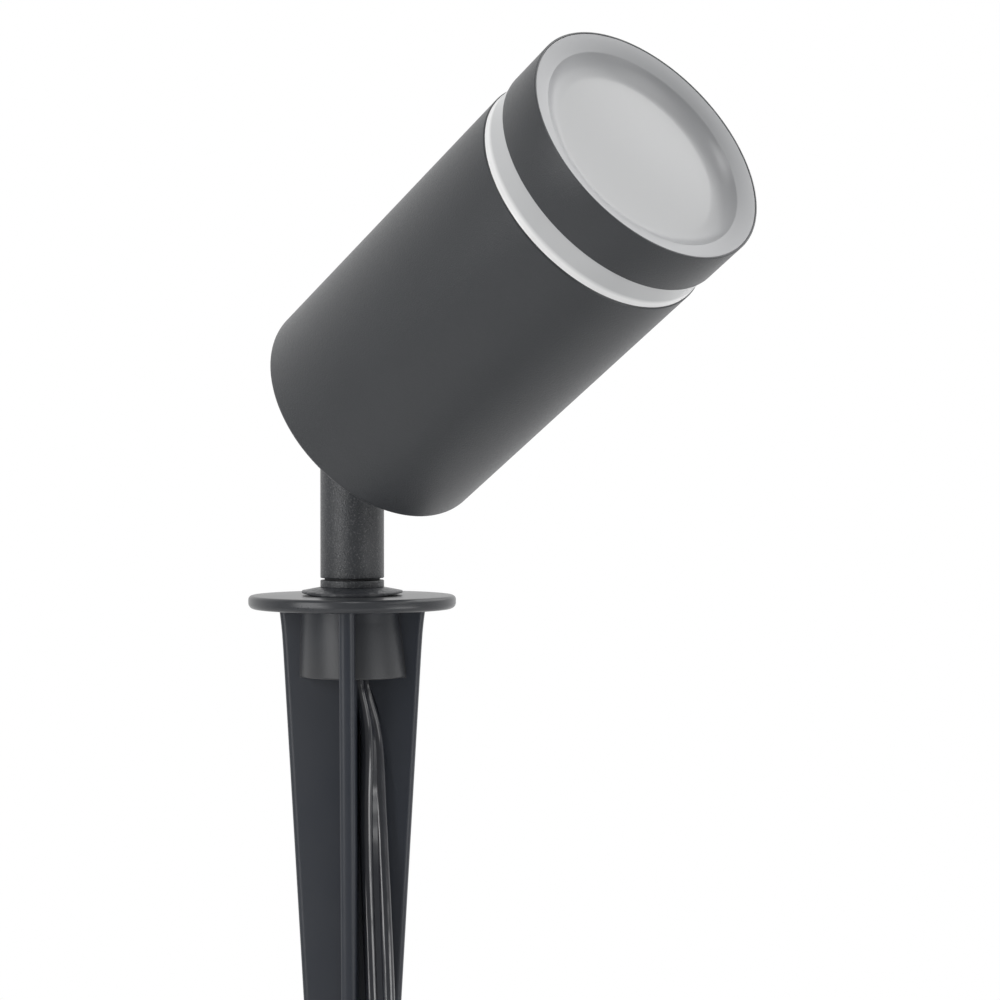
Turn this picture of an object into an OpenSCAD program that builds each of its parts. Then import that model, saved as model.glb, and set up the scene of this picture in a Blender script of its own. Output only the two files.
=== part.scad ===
// Garden spike spotlight: a tilting tube lamp on a swivelling stem, screwed to a moulded ground stake.
// The origin is the middle of the stake's flange underside, which is ground level in use. +Z is up.
// At rest the head leans towards -Y. All sizes are in millimetres.

/* [Head] */
// Outside diameter of the lamp head
head_d = 60; // [52:0.5:76]
// Length of the housing, from its back face to the light ring
body_len = 87.3; // [75:0.1:120]
// Wall of the housing round the diffuser's spigot
seat_wall = 2.5; // [2:0.1:3.2]
// Wall of the housing behind the ledge that carries the heat spreader
body_wall = 3.5; // [3.3:0.1:5]
// Thickness of the housing's closed back
back_wall = 3; // [2:0.1:5]
// Rounding of the housing's back edge
back_edge_r = 0.8; // [0.3:0.1:1.5]
// Chamfer of the housing's front edge
front_edge = 0.3; // [0.1:0.05:0.6]

/* [Front] */
// Length of the dark sleeve round the front of the diffuser
bezel_len = 11.8; // [9:0.1:16]
// Wall of that sleeve
bezel_wall = 0.45; // [0.45:0.05:1.2]
// Width of the light ring that shows between sleeve and housing
ring_w = 6.9; // [4:0.1:12]
// How far the light ring lies below the housing's surface
ring_inset = 0.25; // [0.1:0.05:0.3]
// Length of the diffuser's spigot inside the housing
spigot_len = 9; // [8:0.5:16]
// Thickness of the diffuser moulding
lens_wall = 2.4; // [1.8:0.1:3]
// How far the diffuser's face lies behind the sleeve's rim
lens_recess = 0.15; // [0.1:0.05:0.6]
// Width of the flat band round the dish in the diffuser's face
lens_band = 4.9; // [3:0.1:7]
// Depth of the dish
dish_depth = 2.8; // [1:0.1:4]
// Slope of the dish's round wall at its rim, in degrees
dish_slope = 45; // [30:1:60]
// Thickness of the seal ring in the diffuser's spigot
seal_d = 1.5; // [1:0.1:2]

/* [Light source] */
// Thickness of the heat spreader plate
spreader_t = 3; // [2:0.1:5]
// Thickness of the two circuit boards
board_t = 1.6; // [1:0.1:2]
// Light-emitting packages in the outer ring
led_count = 12; // [6:1:16]
// Radius of the outer ring of packages
led_ring_r = 13.5; // [11:0.5:14]
// Radius of the inner ring of packages
led_inner_r = 6; // [5:0.5:8]
// Width, length and height of one package
led_size = [2.8, 3.5, 0.8];
// Length of the standoffs between heat spreader and driver board
standoff_len = 16; // [14:1:30]
// Diameter of the standoffs
standoff_d = 6; // [5:0.5:7]
// Radius of the circle of standoffs and board screws
screw_circle_r = 19; // [18:0.5:20]
// Radius of the driver board
driver_r = 23; // [22.5:0.5:24]

/* [Screws] */
// Thread diameter of the board screws
screw_d = 3; // [2.5:0.5:4]
// Length of a board screw under its head
screw_len = 8; // [7:0.5:10]
// Diameter of a board screw's head
screw_head_d = 5.5; // [5:0.1:6]
// Height of a board screw's head
screw_head_h = 1.7; // [1:0.1:2.5]

/* [Knuckle] */
// Lean of the head from the vertical at rest, in degrees
rest_tilt = 58; // [0:1:90]
// Distance from the pivot to the back face of the head
pivot_gap = 10.7; // [10.2:0.1:16]
// Radius of the two discs that meet at the pivot
knuckle_r = 8; // [7.8:0.1:8.2]
// Half of the thickness across the two discs
knuckle_half = 6.5; // [6:0.1:7.5]
// Thickness of the washer between the two discs
pivot_washer_t = 0.55; // [0.4:0.05:1]
// Diameter of the pivot bolt
bolt_d = 4; // [3:0.5:5]
// Diameter of the pivot bolt's head
bolt_head_d = 7.6; // [7:0.1:9]
// Height of the pivot bolt's head
bolt_head_h = 2.4; // [2:0.1:3.5]
// Width across flats of the key socket in the bolt's head
bolt_key = 2.5; // [2:0.5:3]
// Thickness of the washer under the bolt's head
bolt_washer_t = 0.8; // [0.5:0.1:1.5]
// Thickness of the gasket between lug and housing
lug_gasket_t = 0.7; // [0.5:0.1:1]

/* [Stem and fixings] */
// Diameter of the stem, the collar and the lug
stem_d = 15.3; // [15:0.1:18]
// Height of the pivot above the flange's underside
pivot_h = 41.95; // [41.5:0.05:70]
// Chamfer at the stem's foot
stem_chamfer = 0.2; // [0.1:0.1:1]
// Diameter of the hollow threaded pieces in flange and housing
thread_d = 10; // [9:0.5:10.5]
// Bore of the hollow threaded pieces
thread_bore = 5.6; // [5.2:0.1:6.5]
// Length of thread inside the stem
stem_thread_len = 14.3; // [10:0.1:18]
// Height of the lock collar
collar_h = 1.75; // [1.5:0.05:6]
// Diameter of the washer in the groove above the collar
swivel_washer_d = 13.3; // [12:0.1:14.5]
// Thickness of the washer in the groove above the collar
swivel_washer_t = 0.45; // [0.3:0.05:1]
// Diameter of the dished gasket on the flange
gasket_d = 24.2; // [20:0.1:30]
// Thickness of that gasket's hub under the collar
gasket_t = 1.9; // [1.6:0.1:2.5]
// Thickness of that gasket's lip at its edge
gasket_lip_t = 0.55; // [0.4:0.05:0.8]
// Height of the lip's edge above the flange
gasket_lift = 0.6; // [0.2:0.05:0.8]
// Width across flats of the two hollow nuts
nut_flats = 17; // [15:0.5:17.5]
// Height of the two hollow nuts
nut_h = 3.5; // [3:0.1:4]
// Diameter of the two toothed washers
tooth_washer_d = 18; // [16:0.5:19]
// Thickness of the two toothed washers
tooth_washer_t = 1; // [0.6:0.1:1.2]
// Teeth of a toothed washer
washer_teeth = 12; // [8:1:16]

/* [Stake] */
// Diameter of the flange
flange_d = 49.8; // [44:0.1:70]
// Thickness of the flange
flange_t = 3.2; // [2.8:0.1:8]
// Rounding of the flange's upper edge
flange_top_r = 1; // [0.3:0.1:1.2]
// Rounding of the flange's lower edge
flange_foot_r = 1.4; // [0.3:0.1:1.5]
// Diameter of the boss at the flange
boss_d = 23.8; // [23.6:0.1:25]
// Length of the boss under the flange
boss_len = 16.35; // [15:0.05:17]
// Wall of the boss
boss_wall = 1.2; // [1:0.1:1.4]
// How much the boss flares towards its mouth
boss_flare = 0.9; // [0:0.05:1.2]
// Radius of the fins' outer edge at the flange
fin_r = 17.2; // [16:0.1:20]
// Thickness of a fin
fin_t = 3.6; // [2.5:0.1:3.7]
// Rounding of a fin's outer corners
fin_edge_r = 1.4; // [0.4:0.1:1.7]
// Lean of a fin's outer edge, in degrees
fin_lean = 3.3; // [2:0.1:4]
// Length of the stake under the flange
stake_len = 160; // [159:1:220]
// Length of the pointed end
tip_len = 40; // [25:1:50]
// Radius of the blunt point
tip_r = 1; // [0.6:0.1:2]
// Length of the notch in the fins' roots below the boss, where the cord comes out
outlet_len = 12.4; // [12:0.1:16]
// Gap between that notch and the cord
outlet_gap = 0.5; // [0.4:0.05:0.7]

/* [Cord] */
// Width of the flat twin cord
cord_w = 7.2; // [6.8:0.1:7.2]
// Thickness of the flat twin cord
cord_t = 3.2; // [2.8:0.1:3.2]
// Thickness of the web between the two cores
cord_web = 1.6; // [1:0.1:2.4]
// Diameter of a single inner wire
wire_d = 2.4; // [1.8:0.1:2.4]
// Turns of the coil
coil_turns = 5; // [3:1:6]
// Radius of the coil's outermost turn
coil_r = 52; // [50:1:60]
// Step from one turn of the coil to the next
coil_step = 3.8; // [3.7:0.1:4.2]
// Radius of the bend that leads from the innermost turn to the connector
tail_r = 16; // [15:0.5:17]
// Diameter of the connector's body
connector_d = 9.6; // [9:0.1:11]
// Length of the connector's body
connector_len = 16; // [14:0.5:18]
// Length of the connector's tapered cord sleeve
sleeve_len = 9; // [8:0.5:10]
// Diameter of the connector's metal barrel
barrel_d = 5.5; // [5:0.1:6]
// Length of the connector's metal barrel
barrel_len = 9; // [8:0.5:10]
// Bore of the connector's metal barrel
barrel_bore = 2.5; // [2:0.1:3]
// Thickness of the band that ties the coil
tie_t = 0.85; // [0.6:0.05:1]
// Width of the band that ties the coil
tie_w = 5; // [3:0.5:8]

/* [Gland] */
// Thickness of the rubber gland in the mouth of the boss
gland_t = 3.5; // [3:0.1:4]
// Height of the lip round the gland's inner side
gland_lip_h = 2; // [1:0.1:3]
// Thickness of that lip
gland_lip_t = 1.4; // [1:0.1:2]

/* [Clearances] */
// Gap between pieces that are pushed or screwed together
fit_gap = 0.05; // [0.03:0.01:0.1]
// Gap between pieces that turn on each other
slip_gap = 0.05; // [0.03:0.01:0.1]
// Gap round pieces that are dropped in place
loose_gap = 0.2; // [0.1:0.05:0.3]
// Gap between a disc of the knuckle and the shoulder it turns past
shoulder_gap = 0.4; // [0.3:0.05:0.6]
// Gap between the tie and the cord
tie_gap = 0.35; // [0.3:0.05:0.5]

/* [Hidden] */
$fn = 64;
overlap = 0.1;
arc_steps = 6;
far = 200;

// Head, measured along its own axis from the pivot
head_r = head_d / 2;
back_z = pivot_gap;
body_front_z = back_z + body_len;
ring_front_z = body_front_z + ring_w;
front_z = ring_front_z + bezel_len;
seat_r = head_r - seat_wall;
body_bore_r = head_r - body_wall;
spreader_front_z = body_front_z - spigot_len;
ledge_z = spreader_front_z - spreader_t;
spreader_r = seat_r - loose_gap / 2;

// Diffuser
spigot_r = seat_r - loose_gap / 2;
spigot_bore_r = spigot_r - lens_wall;
ring_r = head_r - ring_inset;
lens_r = head_r - bezel_wall - fit_gap;
lens_bore_r = lens_r - lens_wall;
lens_face_z = front_z - lens_recess;
dish_r = lens_r - lens_band;
dish_round_r = dish_depth / (1 - cos(dish_slope));
dish_floor_r = dish_r - dish_round_r * sin(dish_slope);
dish_floor_z = lens_face_z - dish_depth;
seal_seat_r = spigot_r + loose_gap / 2 - seal_d - fit_gap / 2;
seal_mid_z = spreader_front_z + spigot_len / 2;

// Light source
led_board_r = spigot_bore_r - loose_gap;
led_board_front_z = spreader_front_z + board_t;
driver_front_z = ledge_z - standoff_len;
driver_back_z = driver_front_z - board_t;
screw_hole_r = screw_d / 2 + fit_gap;
screw_angles = [90, 210, 330];
led_wire_d = 1.8;
led_wire_spread = 2.5;
led_wire_y = -12;
led_wire_hole_r = led_wire_spread + led_wire_d / 2 + loose_gap;
led_inner_count = 6;

// Parts on the back of the driver board: place, then size
choke_at = [-12, 6];
choke_d = 11;
choke_h = 8;
capacitor_at = [[12, 6], [12, -3.5]];
capacitor_d = 8;
capacitor_h = 11;
chip_at = [-4, -9];
chip_size = [8, 6, 1.5];
terminal_at = [0, 10];
terminal_size = [10, 8, 9];

// Knuckle
stem_r = stem_d / 2;
disc_face = pivot_washer_t / 2 + slip_gap / 2;
shoulder = knuckle_r + shoulder_gap;
lug_base_z = back_z - lug_gasket_t;
bolt_r = bolt_d / 2;
bolt_seat_x = knuckle_half + slip_gap;
pocket_r = [bolt_r + 1.4, knuckle_r - 2];
pocket_depth = 2.6;
wire_way_r = 1.3;
wire_way_x = disc_face + pocket_depth - wire_way_r / 2;
wire_way_run = 6;
thread_r = thread_d / 2;
thread_bore_r = thread_bore / 2;
lug_washer_z = back_z + back_wall;
lug_nut_z = lug_washer_z + tooth_washer_t;
stud_top_z = lug_nut_z + nut_h + 1;

// Stem and fixings
gasket_z = flange_t;
gasket_hub_r = stem_r + 0.4;
collar_z = gasket_z + gasket_t;
swivel_washer_z = collar_z + collar_h;
stem_foot_z = swivel_washer_z + swivel_washer_t + slip_gap;
nipple_top_z = stem_foot_z + stem_thread_len;
nut_z = -tooth_washer_t - nut_h;
nipple_foot_z = nut_z - 1.5;
stem_bore_r = thread_bore_r - loose_gap;
stem_shoulder_z = pivot_h - shoulder;
stem_bore_top_z = stem_shoulder_z - 3;
nut_corner_r = nut_flats / 2 / cos(30);

// Stake
flange_r = flange_d / 2;
boss_r = boss_d / 2;
boss_bore_r = boss_r - boss_wall;
outlet_foot_z = -boss_len - outlet_len;
outlet_end_y = -2 * boss_r;
flare_start_z = -3;
shaft_len = stake_len - tip_len;
tip_top_r = fin_r - shaft_len * tan(fin_lean);

// Gland and inner wires
gland_r = boss_bore_r - loose_gap / 2;
gland_top_z = -boss_len + gland_t;
cord_y = -3.3;
wire_r = wire_d / 2;
wire_x = wire_r + fit_gap;

// Cord: points from the gland to the coil, then the turn of its flat side, in degrees
core_r = cord_t / 2;
core_x = cord_w / 2 - core_r;
cord_route = [
  [0, cord_y, -boss_len, 0],
  [0, -3.65, -19, -2],
  [0, -4.6, -22, -4],
  [0, -5.75, -25, -7],
  [0, -6.85, -29, -10],
  [0, -7.5, -35, -13],
  [0, -7.7, -46, -16],
  [0, -8.2, -58, -23],
  [0, -8.9, -70, -30],
  [0, -9.7, -84, -35],
  [0, -10.4, -98, -34],
  [0, -10.8, -112, -32],
  [0, -11, -122, -30],
  [0.1, -11.1, -128, -30],
  [0.9, -11.5, -134.4, -30],
  [3.3, -12.9, -141.2, -30],
  [7.1, -15.1, -147, -30],
  [12.1, -18, -151.4, -30],
  [17.9, -21.4, -154.2, -30],
  [24.2, -25.1, -155.2, -30]
];
coil_heading = -30;
coil_lift = tie_gap + tie_t + cord_w / 2;
coil_z = -stake_len + coil_lift;
coil_entry = [cord_route[len(cord_route) - 1][0], cord_route[len(cord_route) - 1][1]];
coil_mid = coil_entry - coil_r * [-sin(coil_heading), cos(coil_heading)];
coil_a0 = coil_heading + 90;
rings_per_turn = 24;
tail_a = -10;
coil_sweep = 360 * coil_turns + coil_a0 + tail_a;
coil_end_r = coil_r - coil_step * coil_sweep / 360;
tail_rings = 8;
tail_turn = 90 - tail_a;
tail_mid = coil_mid + (coil_end_r - tail_r) * [cos(-tail_a), sin(-tail_a)];
straight = cord_w;
connector_x = tail_mid[0] - straight;
connector_y = tail_mid[1] - tail_r;
tie_angles = [-60, 150];

// Points of an arc from angle a to angle b
function arc(mid, r, a, b) =
  [for (i = [0 : arc_steps]) mid + r * [cos(a + (b - a) * i / arc_steps), sin(a + (b - a) * i / arc_steps)]];

function unit(v) = v / norm(v);

function flat_point(p, z) = [p[0], p[1], z];

// Outline of the flat twin cord: two round cores joined by a web
function core_side(s) = [for (a = [-100 : 50 : 100]) s * [core_x + core_r * cos(a), core_r * sin(a)]];
cord_outline = concat(core_side(1), [[0, cord_web / 2]], core_side(-1), [[0, -cord_web / 2]]);

// Outline of the cord in the coil, with fewer sides
coil_outline = [
  [cord_w / 2, 0], [core_x, core_r], [-core_x, core_r],
  [-cord_w / 2, 0], [-core_x, -core_r], [core_x, -core_r]
];

// Outline of a round wire
function round_outline(r, sides = 8) =
  [for (i = [0 : sides - 1]) r * [cos(360 * i / sides), sin(360 * i / sides)]];

// Direction of a path at each of its points
function headings(path) = let (n = len(path) - 1)
  [for (i = [0 : n]) unit(path[min(i + 1, n)] - path[max(i - 1, 0)])];

// A tube along a path. across gives the direction of the outline's first axis at each point.
module swept(path, heading, across, outline) {
  n = len(path);
  k = len(outline);
  points = [
    for (i = [0 : n - 1])
      let (w = unit(across[i] - (across[i] * heading[i]) * heading[i]), v = cross(heading[i], w))
      for (p = outline) path[i] + p[0] * w + p[1] * v
  ];
  sides = [
    for (i = [0 : n - 2], j = [0 : k - 1])
      let (a = i * k + j, b = i * k + (j + 1) % k)
      for (f = [[a, a + k, b], [b, a + k, b + k]]) f
  ];
  first = [for (j = [1 : k - 2]) [0, j, j + 1]];
  last = [for (j = [1 : k - 2]) [(n - 1) * k, (n - 1) * k + j + 1, (n - 1) * k + j]];
  polyhedron(points, concat(sides, first, last), convexity = 10);
}

// A round wire along a path, square to both of its ends
module wire(path, r, start_heading, end_heading) {
  n = len(path) - 1;
  inner = headings(path);
  heading = [for (i = [0 : n]) i == 0 ? start_heading : i == n ? end_heading : inner[i]];
  swept(path, heading, [for (p = path) [1, 0, 0]], round_outline(r));
}

// Two like wires side by side
module wire_pair(path, r, start_heading, end_heading) {
  for (s = [-1, 1])
    wire([for (p = path) [s * p[0], p[1], p[2]]], r, start_heading, end_heading);
}

// What a drill takes out of a plate that starts at height z and is h thick
module hole(r, z, h) {
  translate([0, 0, z - overlap]) cylinder(r = r, h = h + 2 * overlap);
}

module ring(outer_r, inner_r, z, h) {
  difference() {
    translate([0, 0, z]) cylinder(r = outer_r, h = h);
    hole(inner_r, z, h);
  }
}

module hex_nut(z) {
  translate([0, 0, z])
    difference() {
      cylinder(r = nut_corner_r, h = nut_h, $fn = 6);
      hole(thread_r + fit_gap, 0, nut_h);
    }
}

module toothed_washer(z) {
  tooth_w = tooth_washer_d / washer_teeth;
  difference() {
    ring(tooth_washer_d / 2, thread_r + loose_gap, z, tooth_washer_t);
    for (i = [1 : washer_teeth])
      rotate(360 * i / washer_teeth)
        translate([tooth_washer_d / 2 - tooth_w, -tooth_w / 2, z - overlap])
          cube([2 * tooth_w, tooth_w, tooth_washer_t + 2 * overlap]);
  }
}

module at_screws() {
  for (a = screw_angles)
    rotate(a) translate([screw_circle_r, 0, 0]) children();
}

// Places what is drawn along the head's own axis
module on_head() {
  translate([0, 0, pivot_h]) rotate([rest_tilt, 0, 0]) children();
}

module head_housing() {
  color("#3b3e42") on_head()
    difference() {
      rotate_extrude()
        polygon(concat(
          [[0, back_z]],
          arc([head_r - back_edge_r, back_z + back_edge_r], back_edge_r, -90, 0),
          [[head_r, body_front_z - front_edge], [head_r - front_edge, body_front_z], [seat_r, body_front_z]],
          [[seat_r, ledge_z], [body_bore_r, ledge_z]],
          [[body_bore_r, back_z + back_wall], [0, back_z + back_wall]]
        ));
      hole(thread_r + loose_gap, back_z, back_wall);
    }
}

module front_bezel() {
  color("#3b3e42") on_head()
    ring(head_r, head_r - bezel_wall, ring_front_z, bezel_len);
}

// The moulding has one wall thickness, so its inside follows the spigot, the ring and the dish.
module diffuser() {
  groove = seal_d / 2 + fit_gap;
  inner_face_z = lens_face_z - lens_wall;
  color("#d9dadd") on_head()
    rotate_extrude()
      polygon(concat(
        [[spigot_bore_r, spreader_front_z], [spigot_r, spreader_front_z]],
        [[spigot_r, seal_mid_z - groove], [seal_seat_r, seal_mid_z - groove]],
        [[seal_seat_r, seal_mid_z + groove], [spigot_r, seal_mid_z + groove]],
        [[spigot_r, body_front_z], [ring_r, body_front_z], [ring_r, ring_front_z], [lens_r, ring_front_z]],
        [[lens_r, lens_face_z], [dish_r, lens_face_z]],
        [for (i = [1 : arc_steps]) dish_wall(i / arc_steps, lens_face_z)],
        [[0, dish_floor_z], [0, dish_floor_z - lens_wall]],
        [for (i = [arc_steps : -1 : 0]) dish_wall(i / arc_steps, inner_face_z)],
        [[lens_bore_r, inner_face_z], [lens_bore_r, body_front_z + lens_wall]],
        [[spigot_bore_r, body_front_z]]
      ));
}

// Profile of the dish's wall: an arc, sloping at the rim and level at the floor
function dish_wall(s, z) =
  let (a = dish_slope * (1 - s))
  [dish_floor_r + dish_round_r * sin(a), z - dish_depth + dish_round_r * (1 - cos(a))];

module diffuser_seal() {
  color("#1c1d1f") on_head()
    rotate_extrude()
      translate([seal_seat_r + fit_gap / 4 + seal_d / 2, seal_mid_z]) circle(d = seal_d, $fn = 32);
}

module heat_spreader() {
  color("#b9bcc0") on_head()
    difference() {
      translate([0, 0, ledge_z]) cylinder(r = spreader_r, h = spreader_t);
      at_screws() hole(screw_hole_r, ledge_z, spreader_t);
      translate([0, led_wire_y, 0]) hole(led_wire_hole_r, ledge_z, spreader_t);
    }
}

module led_board() {
  color("#e8e8e4") on_head()
    difference() {
      translate([0, 0, spreader_front_z]) cylinder(r = led_board_r, h = board_t);
      at_screws() hole(screw_hole_r, spreader_front_z, board_t);
    }
}

module led_packages() {
  color("#f0e6a0") on_head()
    for (spot = [[led_count, led_ring_r, 180 / led_count], [led_inner_count, led_inner_r, 0]])
      for (i = [1 : spot[0]])
        rotate(spot[2] + 360 * i / spot[0])
          translate([spot[1] - led_size[0] / 2, -led_size[1] / 2, led_board_front_z]) cube(led_size);
}

module screw() {
  translate([0, 0, -screw_len]) cylinder(d = screw_d, h = screw_len);
  difference() {
    cylinder(d = screw_head_d, h = screw_head_h);
    translate([0, 0, screw_head_h / 2]) cylinder(d = screw_head_d / 2, h = screw_head_h, $fn = 6);
  }
}

module board_screws() {
  color("#c9ccd0") on_head()
    at_screws() {
      translate([0, 0, led_board_front_z]) screw();
      translate([0, 0, driver_back_z]) mirror([0, 0, 1]) screw();
    }
}

module standoffs() {
  color("#c2a04e") on_head()
    at_screws()
      difference() {
        translate([0, 0, driver_front_z]) cylinder(d = standoff_d, h = standoff_len, $fn = 6);
        hole(screw_hole_r, driver_front_z, standoff_len);
      }
}

module driver_board() {
  color("#2f6b46") on_head()
    difference() {
      translate([0, 0, driver_back_z]) cylinder(r = driver_r, h = board_t);
      at_screws() hole(screw_hole_r, driver_back_z, board_t);
    }
}

module driver_choke() {
  color("#2b2b2d") on_head()
    translate([choke_at[0], choke_at[1], driver_back_z - choke_h]) cylinder(d = choke_d, h = choke_h);
}

module driver_capacitors() {
  color("#30363f") on_head()
    for (p = capacitor_at)
      translate([p[0], p[1], driver_back_z - capacitor_h]) cylinder(d = capacitor_d, h = capacitor_h);
}

module driver_chip() {
  color("#1d1d1f") on_head()
    translate([chip_at[0] - chip_size[0] / 2, chip_at[1] - chip_size[1] / 2, driver_back_z - chip_size[2]])
      cube(chip_size);
}

module driver_terminal() {
  color("#3f6f9a") on_head()
    translate([terminal_at[0], terminal_at[1], driver_back_z - terminal_size[2] / 2])
      cube(terminal_size, center = true);
}

module led_wires() {
  color("#a33030") on_head()
    for (s = [-1, 1])
      translate([s * led_wire_spread, led_wire_y, driver_front_z])
        cylinder(d = led_wire_d, h = spreader_front_z - driver_front_z);
}

module head_wires() {
  up = [0, 0, 1];
  foot_z = driver_back_z - terminal_size[2];
  rise = foot_z - stud_top_z;
  color("#8a4a30") on_head()
    wire_pair([
      [wire_x, 0, lug_base_z],
      [wire_x, 0, stud_top_z],
      [wire_x, 0.1 * terminal_at[1], stud_top_z + 0.2 * rise],
      [wire_x, 0.5 * terminal_at[1], stud_top_z + 0.5 * rise],
      [wire_x, 0.9 * terminal_at[1], stud_top_z + 0.8 * rise],
      [wire_x, terminal_at[1], foot_z]
    ], wire_r, up, up);
}

// Half-lap disc of the knuckle with its hollow base, and the stud that goes through the housing's back
module knuckle_lug() {
  color("#3b3e42") on_head()
    difference() {
      union() {
        difference() {
          cylinder(r = stem_r, h = lug_base_z);
          translate([-far, -far / 2, -overlap]) cube([far + disc_face, far, shoulder + overlap]);
          translate([knuckle_half, -far / 2, -overlap]) cube([far, far, shoulder + overlap]);
        }
        translate([disc_face, 0, 0]) rotate([0, 90, 0]) cylinder(r = knuckle_r, h = knuckle_half - disc_face);
        translate([0, 0, lug_base_z - overlap]) cylinder(r = thread_r, h = stud_top_z - lug_base_z + overlap);
      }
      rotate([0, 90, 0]) cylinder(r = bolt_r + slip_gap, h = far);
      translate([disc_face - overlap, 0, 0]) wire_pocket();
      translate([wire_way_x, 0, pocket_r[0]]) cylinder(r = wire_way_r, h = lug_base_z - pocket_r[0]);
      translate([0, 0, lug_base_z - overlap]) cylinder(r = thread_bore_r, h = far);
    }
}

// Ring-shaped hollow round the bolt that the wires turn in
module wire_pocket() {
  rotate([0, 90, 0])
    difference() {
      cylinder(r = pocket_r[1], h = pocket_depth + overlap);
      cylinder(r = pocket_r[0], h = far, center = true);
    }
}

module lug_gasket() {
  color("#1c1d1f") on_head() ring(stem_r - loose_gap, thread_r + fit_gap, lug_base_z, lug_gasket_t);
}

module lug_washer() {
  color("#c9ccd0") on_head() toothed_washer(lug_washer_z);
}

module lug_nut() {
  color("#c9ccd0") on_head() hex_nut(lug_nut_z);
}

module pivot_washer() {
  color("#1c1d1f")
    translate([-disc_face, 0, pivot_h]) rotate([0, 90, 0])
      ring(knuckle_r - loose_gap, bolt_r + fit_gap, 0, pivot_washer_t);
}

module pivot_bolt() {
  head_x = bolt_seat_x + bolt_washer_t;
  color("#c9ccd0")
    translate([0, 0, pivot_h]) rotate([0, 90, 0])
      difference() {
        union() {
          translate([0, 0, -knuckle_half]) cylinder(r = bolt_r, h = knuckle_half + head_x + overlap);
          translate([0, 0, head_x])
            rotate_extrude()
              polygon(concat([[0, 0], [bolt_head_d / 2, 0]], button_arc(), [[0, bolt_head_h]]));
        }
        translate([0, 0, head_x + bolt_head_h / 2])
          cylinder(r = bolt_key / 2 / cos(30), h = bolt_head_h, $fn = 6);
      }
}

// Domed side of the bolt's head
function button_arc() = [
  for (i = [1 : arc_steps - 1])
    [bolt_head_d / 2 * cos(60 * i / arc_steps), bolt_head_h * sin(90 * i / arc_steps)]
];

module bolt_washer() {
  color("#c9ccd0")
    translate([bolt_seat_x, 0, pivot_h]) rotate([0, 90, 0])
      ring(bolt_head_d / 2, bolt_r + fit_gap, 0, bolt_washer_t);
}

// Round post with a threaded socket at its foot and the other half of the knuckle at its top
module stem() {
  color("#3b3e42")
    difference() {
      union() {
        difference() {
          rotate_extrude()
            polygon([
              [0, stem_foot_z], [stem_r - stem_chamfer, stem_foot_z], [stem_r, stem_foot_z + stem_chamfer],
              [stem_r, pivot_h], [0, pivot_h]
            ]);
          translate([-disc_face, -far / 2, stem_shoulder_z]) cube([far, far, far]);
          translate([-far - knuckle_half, -far / 2, stem_shoulder_z]) cube([far, far, far]);
        }
        translate([-knuckle_half, 0, pivot_h]) rotate([0, 90, 0])
          cylinder(r = knuckle_r, h = knuckle_half - disc_face);
      }
      translate([-far, 0, pivot_h]) rotate([0, 90, 0]) cylinder(r = bolt_r + fit_gap, h = 2 * far);
      translate([-disc_face + overlap, 0, pivot_h]) mirror([1, 0, 0]) wire_pocket();
      translate([-wire_way_x, 0, stem_bore_top_z - wire_way_run])
        cylinder(r = wire_way_r, h = pivot_h - pocket_r[0] - stem_bore_top_z + wire_way_run);
      translate([0, 0, stem_foot_z - overlap])
        cylinder(r = thread_r + slip_gap, h = stem_thread_len + loose_gap + overlap);
      translate([0, 0, nipple_top_z]) cylinder(r = stem_bore_r, h = stem_bore_top_z - nipple_top_z);
    }
}

module stem_wires() {
  foot_z = nipple_top_z + 2 * loose_gap;
  color("#8a4a30")
    for (s = [-1, 1])
      translate([s * wire_x, 0, foot_z]) cylinder(r = wire_r, h = stem_bore_top_z - loose_gap - foot_z);
}

module swivel_washer() {
  color("#1c1d1f") ring(swivel_washer_d / 2, thread_r + fit_gap, swivel_washer_z, swivel_washer_t);
}

module lock_collar() {
  color("#3b3e42") ring(stem_r, thread_r + fit_gap, collar_z, collar_h);
}

module threaded_nipple() {
  color("#c9ccd0") ring(thread_r, thread_bore_r, nipple_foot_z, nipple_top_z - nipple_foot_z);
}

// Dished rubber washer: a hub under the collar and a lip that stands a little off the flange
module stake_gasket() {
  color("#1c1d1f")
    translate([0, 0, gasket_z])
      rotate_extrude()
        polygon([
          [thread_r + fit_gap, 0], [gasket_hub_r, 0], [gasket_d / 2, gasket_lift],
          [gasket_d / 2, gasket_lift + gasket_lip_t], [gasket_hub_r, gasket_t], [thread_r + fit_gap, gasket_t]
        ]);
}

module stake_washer() {
  color("#c9ccd0") toothed_washer(-tooth_washer_t);
}

module stake_nut() {
  color("#c9ccd0") hex_nut(nut_z);
}

// One fin: a bar with round outer corners, leaning so that the stake narrows downwards
module fin() {
  edge_r = min(fin_edge_r, 0.45 * fin_t);
  edge = fin_t / 2 - edge_r;
  drop = stake_len / cos(fin_lean);
  rotate([0, fin_lean, 0])
    translate([0, 0, -drop])
      linear_extrude(height = drop + flange_t / 2)
        polygon(concat(
          [[0, -fin_t / 2]],
          arc([fin_r * cos(fin_lean) - edge_r, -edge], edge_r, -90, 0),
          arc([fin_r * cos(fin_lean) - edge_r, edge], edge_r, 0, 90),
          [[0, fin_t / 2]]
        ));
}

// Notch that lets the cord out of the boss between two fins
module cord_outlet() {
  r = core_r + outlet_gap;
  linear_extrude(height = outlet_len + overlap) {
    translate([-core_x, cord_y - r]) square([2 * core_x, 2 * r]);
    for (s = [-1, 1]) translate([s * core_x, cord_y]) circle(r = r);
    translate([-core_x - r, outlet_end_y]) square([2 * core_x + 2 * r, cord_y - outlet_end_y]);
  }
}

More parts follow.
